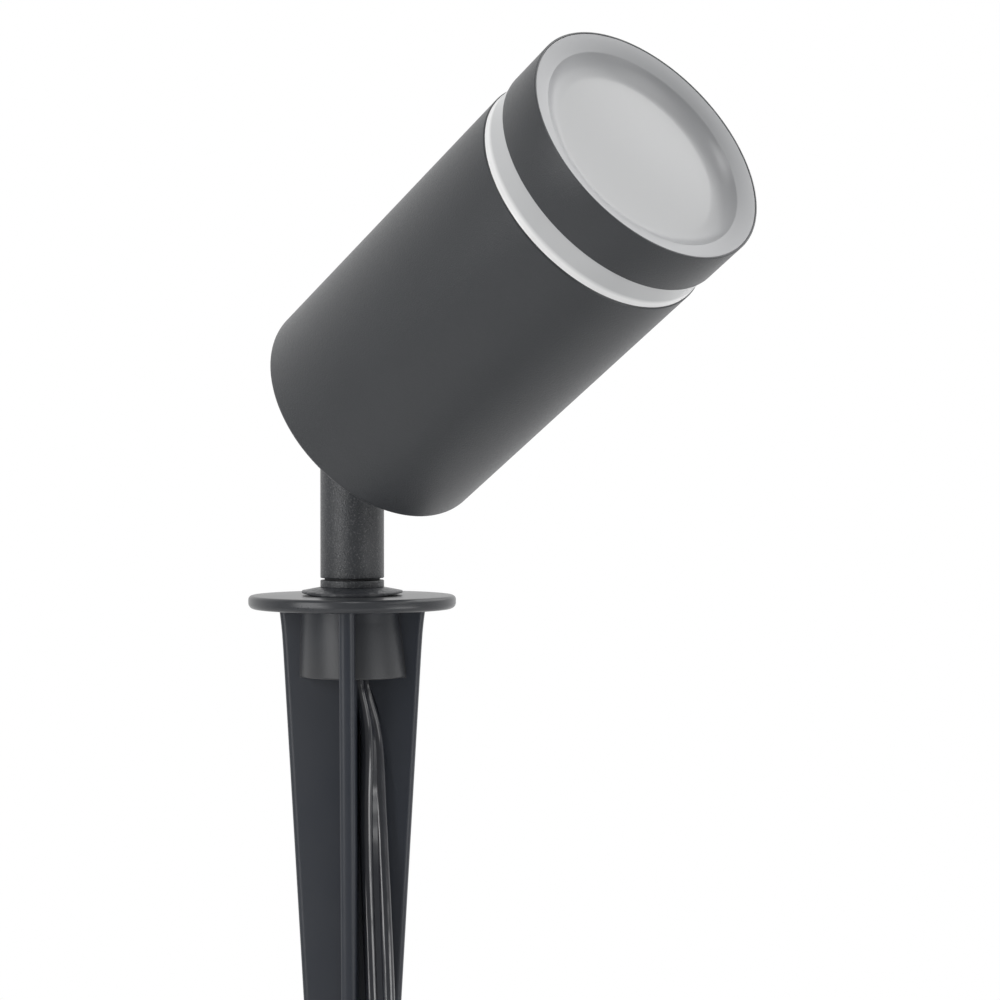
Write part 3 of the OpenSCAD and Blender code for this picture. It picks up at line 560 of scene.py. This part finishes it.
def carve(shell, tool):
    """Points and faces of a shell with another one cut out of it."""
    pair = []
    for points, faces in (shell, tool):
        mesh = bpy.data.meshes.new("carved")
        mesh.from_pydata([tuple(p) for p in points], [], faces)
        pair.append(solid("carved", mesh))
    mesh = worked(pair[0], [("DIFFERENCE", pair[1])])
    bpy.data.objects.remove(pair[0])
    return [v.co.copy() for v in mesh.vertices], [tuple(f.vertices) for f in mesh.polygons]


flange_profile = [
    (flange_hole, 0, 0), (flange_r, 0, 1.4), (flange_r, flange_t, 1.0), (flange_hole, flange_t, 0.3),
    (flange_hole, 0, 0)]
boss_profile = [
    (boss_r, boss_root, 0), (boss_r, boss_neck, 8), (boss_rim_r, boss_end, 0.45),
    (boss_bore, boss_end, 0.35), (boss_bore, boss_root, 0), (boss_r, boss_root, 0)]
shells = [turned(eased(flange_profile, 8), 192)]
points, faces = turned(eased(boss_profile, 5), 128)
aslant = [(x - boss_off - boss_slope * z, y + boss_off + boss_slope * z, z) for x, y, z in points]
shells.append((aslant, faces))

hollow_profile = [(0, boss_end), (boss_bore, boss_end), (boss_bore, hollow_top), (0, hollow_top)]
boss_hollow = turned(hollow_profile, 64)
way_out = [i for i, p in enumerate(cord_path[:len(free)]) if p.z > outlet_end]
outlet = tube([cord_path[i] for i in way_out], [(1.05 * x, 1.1 * y) for x, y in cord_outline],
              [across[i] for i in way_out], [heads[i] for i in way_out])
for angle in (45, 135, 225, 315):
    turn = Matrix.Rotation(math.radians(angle), 3, "Z")
    points = []
    for z in fin_levels:
        reach = fin_reach(z)
        half = fin_t / 2 * min(1, thin_share + (1 - thin_share) * (stake_len + z) / thin_len)
        edge = min(fin_edge, half * 0.78, reach * 0.6)
        side = eased([(0, -half, 0), (reach, -half, edge), (reach, half, edge), (0, half, 0)], 6)
        points += [turn @ Vector((x, y, z)) for x, y in side]
    n = len(side)
    ends = [tuple(range(n)), tuple(range(len(points) - n, len(points)))]
    fin = carve((points, skin(len(fin_levels), n) + ends), boss_hollow)
    shells.append(carve(fin, outlet) if angle > 180 else fin)
points, faces = [], []
for shell_points, shell_faces in shells:
    faces += [tuple(len(points) + i for i in face) for face in shell_faces]
    points += shell_points
build("stake_moulded", points, faces, moulded, "base", ["stake"], sharp=20)

# Gland, wires and fixings inside the stake
# A rubber plug grips the lead in the boss, and insulated wires lead on from it. A hollow steel nipple, a
# toothed washer and a nut, all zinc plated, hold the stem on the flange.
rubber = surface("black_rubber")
feed(rubber, Base_Color=tint(rubber, grain(rubber, 3), rgb(26, 26, 28), rgb(40, 40, 42)),
     Roughness=0.5 + 0.3 * grain(rubber, 0.7), Normal=bump(rubber, grain(rubber, 0.4), 0.04))
zinc = surface("zinc_plate", Metallic=1.0)
feed(zinc, Base_Color=tint(zinc, grain(zinc, 2), rgb(168, 170, 172), rgb(206, 208, 208)),
     Roughness=0.28 + 0.2 * grain(zinc, 0.8), Normal=bump(zinc, grain(zinc, 0.3), 0.02))
insulation = surface("wire_insulation")
feed(insulation, Base_Color=tint(insulation, grain(insulation, 4), rgb(120, 60, 40), rgb(140, 74, 50)),
     Roughness=0.3 + 0.15 * grain(insulation, 1))


def dress(finish, *names):
    """Gives CAD nodes that stay in sight, or inside, their finish."""
    for name in names:
        slots = nodes[name].data.materials
        slots.clear()
        slots.append(finish.owner)


dress(rubber, "cord_gland")
dress(zinc, "threaded_nipple", "stake_washer", "stake_nut")
dress(insulation, "supply_wires", "stem_wires", "head_wires")

# Gasket, collar and swivel washer
# A thin black sealing disc lies on the flange, and its lip droops where it isn't pressed. A powder-coated
# lock collar presses it down, and a slim rubber washer in the groove above lets the stem turn.
nipple_hole, gasket_hub, gasket_rim, lip_under, lip_over = 5.05, 8.05, 12.1, 3.8, 4.35
gasket_top, collar_top, washer_top = 5.1, 6.85, 7.3
collar_r, washer_r = 7.65, 6.65
droop_way, droop_under, droop_over = math.radians(225), 0.6, 0.4
seal_skin = surface("gasket_skin")
wrinkle = grain(seal_skin, 1.6, 3)
feed(seal_skin, Base_Color=tint(seal_skin, wrinkle, rgb(54, 56, 60), rgb(70, 72, 76)),
     Roughness=0.22 + 0.3 * wrinkle, Normal=bump(seal_skin, wrinkle, 0.35))
gasket_profile = [
    (nipple_hole, flange_t, 0), (gasket_hub, flange_t, 0.6), (gasket_rim, lip_under, 0.2),
    (gasket_rim, lip_over, 0.25), (gasket_hub, gasket_top, 0.3), (nipple_hole, gasket_top, 0),
    (nipple_hole, flange_t, 0)]
points, faces = turned(eased(gasket_profile, 4), 128)
for i, (x, y, z) in enumerate(points):
    front = min(1, 1.45 * math.cos(math.atan2(y, x) - droop_way) ** 2)
    droop = front * max(0, math.hypot(x, y) - gasket_hub) / (gasket_rim - gasket_hub)
    points[i] = (x, y, z - droop * (droop_under if z < 4 else droop_over))
build("flange_gasket", points, faces, seal_skin, "base", ["stake_gasket"])


def powder_coat(name, size, relief, painted_glints):
    """Anthracite powder coat, by the size and relief of its grains and the share of pale flecks painted
    on it as glints.
    """
    finish = surface(name, IOR=1.5)
    fine, speck = grain(finish, size, 2, 0.6), grain(finish, 2 * size, 1)
    glint_fleck = finish.node("MapRange", {}, {0: grain(finish, 1.4 * size, 1), 1: 0.58, 2: 0.72})
    ground = tint(finish, grain(finish, 25, 2), rgb(52, 54, 57), rgb(58, 60, 63))
    # Pale flecks painted into the colour stand in for glints of light in the coat.
    feed(finish, Base_Color=tint(finish, painted_glints * glint_fleck, ground, rgb(190, 191, 193)),
         Roughness=0.33 + 0.14 * speck,
         Normal=bump(finish, fine + 0.5 * speck, relief))
    return finish


def ring(bore, r, low, high, ease):
    """Outline of a plain ring, with its outer edges eased."""
    return [(bore, low, 0), (r, low, ease), (r, high, ease), (bore, high, 0), (bore, low, 0)]


powder = powder_coat("powder_coat", 0.28, 0.05, 0)
# The sandy coat gets pale flecks painted on as glints.
sandy = powder_coat("powder_coat_sandy", 0.3, 0.1, 0.14)
points, faces = turned(eased(ring(nipple_hole, collar_r, gasket_top, collar_top, 0.2), 4), 128)
build("stem_collar", points, faces, sandy, "base", ["lock_collar"])
points, faces = turned(eased(ring(nipple_hole, washer_r, collar_top, washer_top, 0.1), 2), 96)
build("groove_washer", points, faces, rubber, "base", ["swivel_washer"])

# Stem
# Turned aluminium post in the same powder coat, which turns on the nipple. Its top is one half of the
# knuckle: a disc with a flat face on the pivot's side, milled from the post.
stem_r, stem_foot, pivot_h = 7.65, 7.35, 41.95
post_rows = (8.5, 20, 31.6, 32.8)
disc_r, disc_in, disc_out, disc_sunk = 8, 0.3, 6.5, 0.05
notch_z, notch_top, notch_far = 33.55, 60, 20
bolt_hole, bolt_reach = 2.05, 9
pivot = Vector((0, 0, pivot_h))
across_x = Matrix.Rotation(math.pi / 2, 4, "Y")
sideways = Matrix.Translation(pivot * MM) @ across_x
bolt_way = [(0, -bolt_reach), (bolt_hole, -bolt_reach), (bolt_hole, bolt_reach), (0, bolt_reach)]


def shape(name, profile, place=None, steps=96):
    """A loose turned solid for cutting and joining."""
    points, faces = turned(profile, steps)
    mesh = bpy.data.meshes.new(name)
    mesh.from_pydata([Vector(p) * MM for p in points], [], faces)
    if place is not None:
        mesh.transform(place)
    return solid(name, mesh)


def block(name, low, high):
    """A loose box between two corners in millimetres, for cutting."""
    mesh = bpy.data.meshes.new(name)
    made = bmesh.new()
    bmesh.ops.create_cube(made, size=1)
    low, high = Vector(low) * MM, Vector(high) * MM
    for v in made.verts:
        v.co = Vector([low[i] + (v.co[i] + 0.5) * (high[i] - low[i]) for i in range(3)])
    made.to_mesh(mesh)
    made.free()
    return solid(name, mesh)


def combine(piece, steps):
    """Joins and cuts loose solids, and welds the points that fall together."""
    mesh = worked(piece, steps)
    piece.data = mesh
    weld = bmesh.new()
    weld.from_mesh(mesh)
    bmesh.ops.remove_doubles(weld, verts=weld.verts, dist=0.01 * MM)
    bmesh.ops.dissolve_degenerate(weld, edges=weld.edges, dist=0.005 * MM)
    weld.to_mesh(mesh)
    weld.free()
    smooth(mesh)
    return piece


def settle(piece, finish, body, replaced, place=None):
    """Gives a combined solid its finish, place, body and CAD nodes."""
    piece.data.materials.clear()
    piece.data.materials.append(finish.owner)
    if place is not None:
        piece.data.transform(place)
    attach(piece, body)
    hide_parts(*replaced)


post_profile = [(0, stem_foot, 0), (stem_r, stem_foot, 0.25)]
post_profile += [(stem_r, z, 0) for z in post_rows]
post_profile += [(stem_r, pivot_h, 0), (0, pivot_h, 0)]
post_disc = [(0, -disc_out, 0), (disc_r, -disc_out, 0.4), (disc_r, -disc_in, 0.3), (0, -disc_in, 0)]
notch_low = (-disc_in - disc_sunk, -notch_far, notch_z)
notch_high = (notch_far, notch_far, notch_top)
flat_low = (-notch_far, -notch_far, notch_z)
flat_high = (-disc_out + disc_sunk, notch_far, notch_top)
post = combine(shape("stem_post", eased(post_profile, 3)), [
    ("DIFFERENCE", block("notch", notch_low, notch_high)),
    ("DIFFERENCE", block("flat", flat_low, flat_high)),
    ("UNION", shape("half_disc", eased(post_disc, 3), sideways)),
    ("DIFFERENCE", shape("bolt_way", bolt_way, sideways, 48)),
])
settle(post, sandy, "stem", ["stem"])

# Knuckle lug
# The other half of the knuckle, cast with a round base and a threaded stud that passes through the
# housing's back. A rubber gasket, a toothed washer and a nut hold it there.
lug_len, lug_notch_z, stud_r, stud_from, stud_end = 10, 8.4, 5, 9.5, 19.2
head_lean = math.radians(58)
lean_back = Matrix.Translation(pivot * MM) @ Matrix.Rotation(head_lean, 4, "X")
lug_disc = [(0, disc_in, 0), (disc_r, disc_in, 0.3), (disc_r, disc_out, 0.4), (0, disc_out, 0)]
notch_low = (-notch_far, -notch_far, -notch_far)
notch_high = (disc_in + disc_sunk, notch_far, lug_notch_z)
flat_low = (disc_out - disc_sunk, -notch_far, -notch_far)
flat_high = (notch_far, notch_far, lug_notch_z)
lug_stud = [(0, stud_from), (stud_r, stud_from), (stud_r, stud_end), (0, stud_end)]
lug = combine(shape("lug", [(0, 0), (stem_r, 0), (stem_r, lug_len), (0, lug_len)]), [
    ("DIFFERENCE", block("notch", notch_low, notch_high)),
    ("DIFFERENCE", block("flat", flat_low, flat_high)),
    ("UNION", shape("half_disc", eased(lug_disc, 3), across_x)),
    ("DIFFERENCE", shape("bolt_way", bolt_way, across_x, 48)),
    ("UNION", shape("stud", lug_stud, None, 64)),
])
settle(lug, powder, "head", ["knuckle_lug"], lean_back)
dress(rubber, "lug_gasket")
dress(zinc, "lug_washer", "lug_nut")

# Pivot bolt
# Zinc-plated button-head screw with a hexagon socket and a plain washer. It clamps the two discs on the
# rubber washer between them, so that the head stays where it is put.
bolt_r, bolt_head_r, bolt_head_h, bolt_head_z = 2, 3.8, 2.4, 7.35
key_r, key_z, key_top, bolt_washer_z = 1.443, 8.55, 12, 6.55
bolt_profile = [(0, -disc_out), (bolt_r, -disc_out), (bolt_r, bolt_head_z)]
for a in range(0, 91, 10):
    dome_r = bolt_head_r * math.cos(math.radians(a * 60 / 90))
    bolt_profile.append((dome_r, bolt_head_z + bolt_head_h * math.sin(math.radians(a))))
bolt_profile.append((0, bolt_head_z + bolt_head_h))
key = shape("key", [(0, key_z), (key_r, key_z), (key_r, key_top), (0, key_top)], sideways, 6)
bolt = combine(shape("bolt", bolt_profile, sideways, 64), [("DIFFERENCE", key)])
settle(bolt, zinc, "stem", ["pivot_bolt"])
points, faces = turned(eased(ring(bolt_hole, bolt_head_r, bolt_washer_z, bolt_head_z, 0.15), 3), 64)
build("bolt_plain_washer", points, faces, zinc, "stem", ["bolt_washer"], sideways)
dress(rubber, "pivot_washer")

# Head housing
# Drawn aluminium tube with a closed back, in anthracite powder coat with a fine sandy texture. The lug's
# stud holds it by its back, and its front is bored out for the diffuser's spigot.
tube_r, tube_bore, spigot_bore, stud_hole = 30, 26.5, 27.5, 5.2
tube_back, tube_floor, spigot_seat, tube_front, tube_chamfer = 10.7, 13.7, 86, 98, 0.35
tube_profile = [
    (stud_hole, tube_floor, 0), (stud_hole, tube_back, 0.2), (tube_r, tube_back, 0.9),
    (tube_r, tube_front - tube_chamfer, 0.1), (tube_r - tube_chamfer, tube_front, 0.05),
    (spigot_bore, tube_front, 0.2), (spigot_bore, spigot_seat, 0), (tube_bore, spigot_seat, 0),
    (tube_bore, tube_floor, 0), (stud_hole, tube_floor, 0)]
points, faces = turned(eased(tube_profile, 6), 256)
build("housing_tube", points, faces, powder, "head", ["head_housing"], lean_back)

# Light source and driver
# Behind the diffuser: a white board with yellow light packages, screwed to a turned aluminium plate, and
# the driver board behind it on brass standoffs. Nothing of it shows while the lamp is closed.
inner_finishes = [
    # finish, metallic, darker and lighter colour, their grain, least and added roughness, grain, nodes
    ("turned_aluminium", 1, (186, 188, 192), (212, 214, 216), 3, (0.3, 0.2), 0.8, ["heat_spreader"]),
    ("white_board", 0, (226, 226, 220), (240, 240, 236), 5, (0.35, 0.1), 1, ["led_board"]),
    ("green_board", 0, (30, 92, 56), (44, 112, 70), 5, (0.35, 0.1), 1, ["driver_board"]),
    ("phosphor", 0, (232, 210, 110), (244, 226, 140), 1, (0.4, 0.1), 0.5, ["led_packages"]),
    ("turned_brass", 1, (188, 152, 76), (214, 180, 100), 2, (0.25, 0.2), 0.7, ["standoffs"]),
    ("component_black", 0, (26, 26, 28), (38, 38, 40), 1, (0.45, 0.2), 0.5,
     ["driver_choke", "driver_chip"]),
    ("capacitor_sleeve", 0, (40, 48, 64), (52, 60, 76), 3, (0.25, 0.1), 1, ["driver_capacitors"]),
    ("terminal_blue", 0, (54, 108, 160), (66, 122, 172), 3, (0.3, 0.1), 1, ["driver_terminal"]),
    ("red_insulation", 0, (150, 40, 36), (168, 50, 44), 3, (0.3, 0.1), 1, ["led_wires"]),
]
for name, metal, dark, light, patch, (least, more), speck, dressed in inner_finishes:
    finish = surface(name, Metallic=metal)
    feed(finish, Base_Color=tint(finish, grain(finish, patch), rgb(*dark), rgb(*light)),
         Roughness=least + more * grain(finish, speck))
    dress(finish, *dressed)
dress(zinc, "board_screws")

# Diffuser
# One frosted moulding: the front with its band that slopes inward and its bowl-shaped dish, the light
# ring that shows behind the bezel, and a spigot with a rubber seal, pushed into the housing.
frost_t, spigot_r, spigot_inner, spigot_back = 2.4, 27.4, 25, 89
rim_r, rim_inner, rim_z, bezel_back, face_from = 29.5, 26.9, 116.6, 104.9, 106
dish_slope, dish_bowl, dish_lip, dish_floor = math.radians(50), math.radians(6), (25.5, 115.3), 112.4
frost = surface("frosted", IOR=1.49)
head_way = (0, -math.sin(head_lean), math.cos(head_lean))
from_pivot = frost.node("VectorMath", {"operation": "SUBTRACT"}, {0: frost.at, 1: pivot * MM})
along = frost.node("VectorMath", {"operation": "DOT_PRODUCT"}, {0: from_pivot, 1: head_way},
                   output="Value")
distance = frost.node("VectorMath", {"operation": "LENGTH"}, {0: from_pivot}, output="Value")
from_axis = (distance * distance - along * along) ** 0.5
# Painted shade: the dish wall's top, the lip and the band are painted a little darker than the dish.
face_shade_stops = [(0, rgb(170, 171, 172)), (0.64, rgb(170, 171, 172)), (0.8, rgb(170, 171, 173)),
              (0.88, rgb(162, 163, 165))]
# Painted glow: the light ring's edge next to the housing is painted near white, as light that the ring
# carries.
ring_glow_stops = [(0, rgb(250, 250, 250)), (0.17, rgb(250, 250, 250)), (0.32, rgb(200, 201, 202)),
              (1, rgb(200, 201, 202))]
face_painted_shade = frost.node("ValToRGB", {"stops": face_shade_stops}, {0: from_axis / (tube_r * MM)})
up_ring = (along - tube_front * MM) / ((bezel_back - tube_front) * MM)
ring_painted_glow = frost.node("ValToRGB", {"stops": ring_glow_stops}, {0: up_ring})
on_ring = along < face_from * MM
feed(frost, Base_Color=frost.node("Mix", {"data_type": "RGBA"}, {0: on_ring, 6: face_painted_shade, 7: ring_painted_glow},
                                  output=2),
     Roughness=0.28 + 0.04 * grain(frost, 0.6) - 0.08 * on_ring,
     Normal=bump(frost, grain(frost, 0.7), 0.0006))

dish_round = (dish_lip[1] - dish_floor) / (1 - math.cos(dish_slope))
wall_steps, bowl_steps = 16, 8
dish = []
for k in range(1, wall_steps + 1):
    a = dish_slope - (dish_slope - dish_bowl) * k / wall_steps
    wall_r = dish_lip[0] - dish_round * (math.sin(dish_slope) - math.sin(a))
    dish.append((wall_r, dish_floor + dish_round * (1 - math.cos(a)), 0))
bowl_r, bowl_z, _ = dish[-1]
bowl_sag = math.tan(dish_bowl) / 2 * bowl_r
for k in range(bowl_steps - 1, -1, -1):
    dish.append((bowl_r * k / bowl_steps, bowl_z - bowl_sag * (1 - (k / bowl_steps) ** 2), 0))
inside = [(r, z - frost_t, 0) for r, z, _ in reversed(dish)]
inside += [(rim_inner, dish_lip[1] - frost_t, 0), (rim_inner, tube_front + frost_t, 0),
           (spigot_inner, tube_front, 0), (spigot_inner, spigot_back, 0)]
ring_hollow = [(29.74, 98.04, 0), (29.66, 98.5, 0), (29.6, 99, 0), (29.57, 99.5, 0), (29.55, 100.1, 0),
               (29.55, 103.4, 0), (29.6, 104.2, 0), (29.72, 104.88, 0)]
outside = [(spigot_inner, spigot_back, 0), (spigot_r, spigot_back, 0), (spigot_r, tube_front, 0)]
outside += ring_hollow
outside += [(rim_r, bezel_back, 0), (rim_r, rim_z, 0.04), (*dish_lip, 1.8)]
points, faces = turned(eased(outside + dish + inside, 4), 256)
build("diffuser_frosted", points, faces, frost, "head", ["diffuser"], lean_back)
dress(rubber, "diffuser_seal")

# Front bezel
# Thin dark sleeve of the same powder-coated aluminium. It is pushed over the diffuser, so that only its
# rim shows from the front.
bezel_bore, bezel_front = 29.55, 116.7
bezel_profile = [
    (bezel_bore, bezel_back, 0), (tube_r, bezel_back, 0.1), (tube_r, bezel_front, 0.25),
    (bezel_bore, bezel_front, 0.1), (bezel_bore, bezel_back, 0)]
points, faces = turned(eased(bezel_profile, 4), 256)
build("bezel_sleeve", points, faces, powder, "head", ["front_bezel"], lean_back)
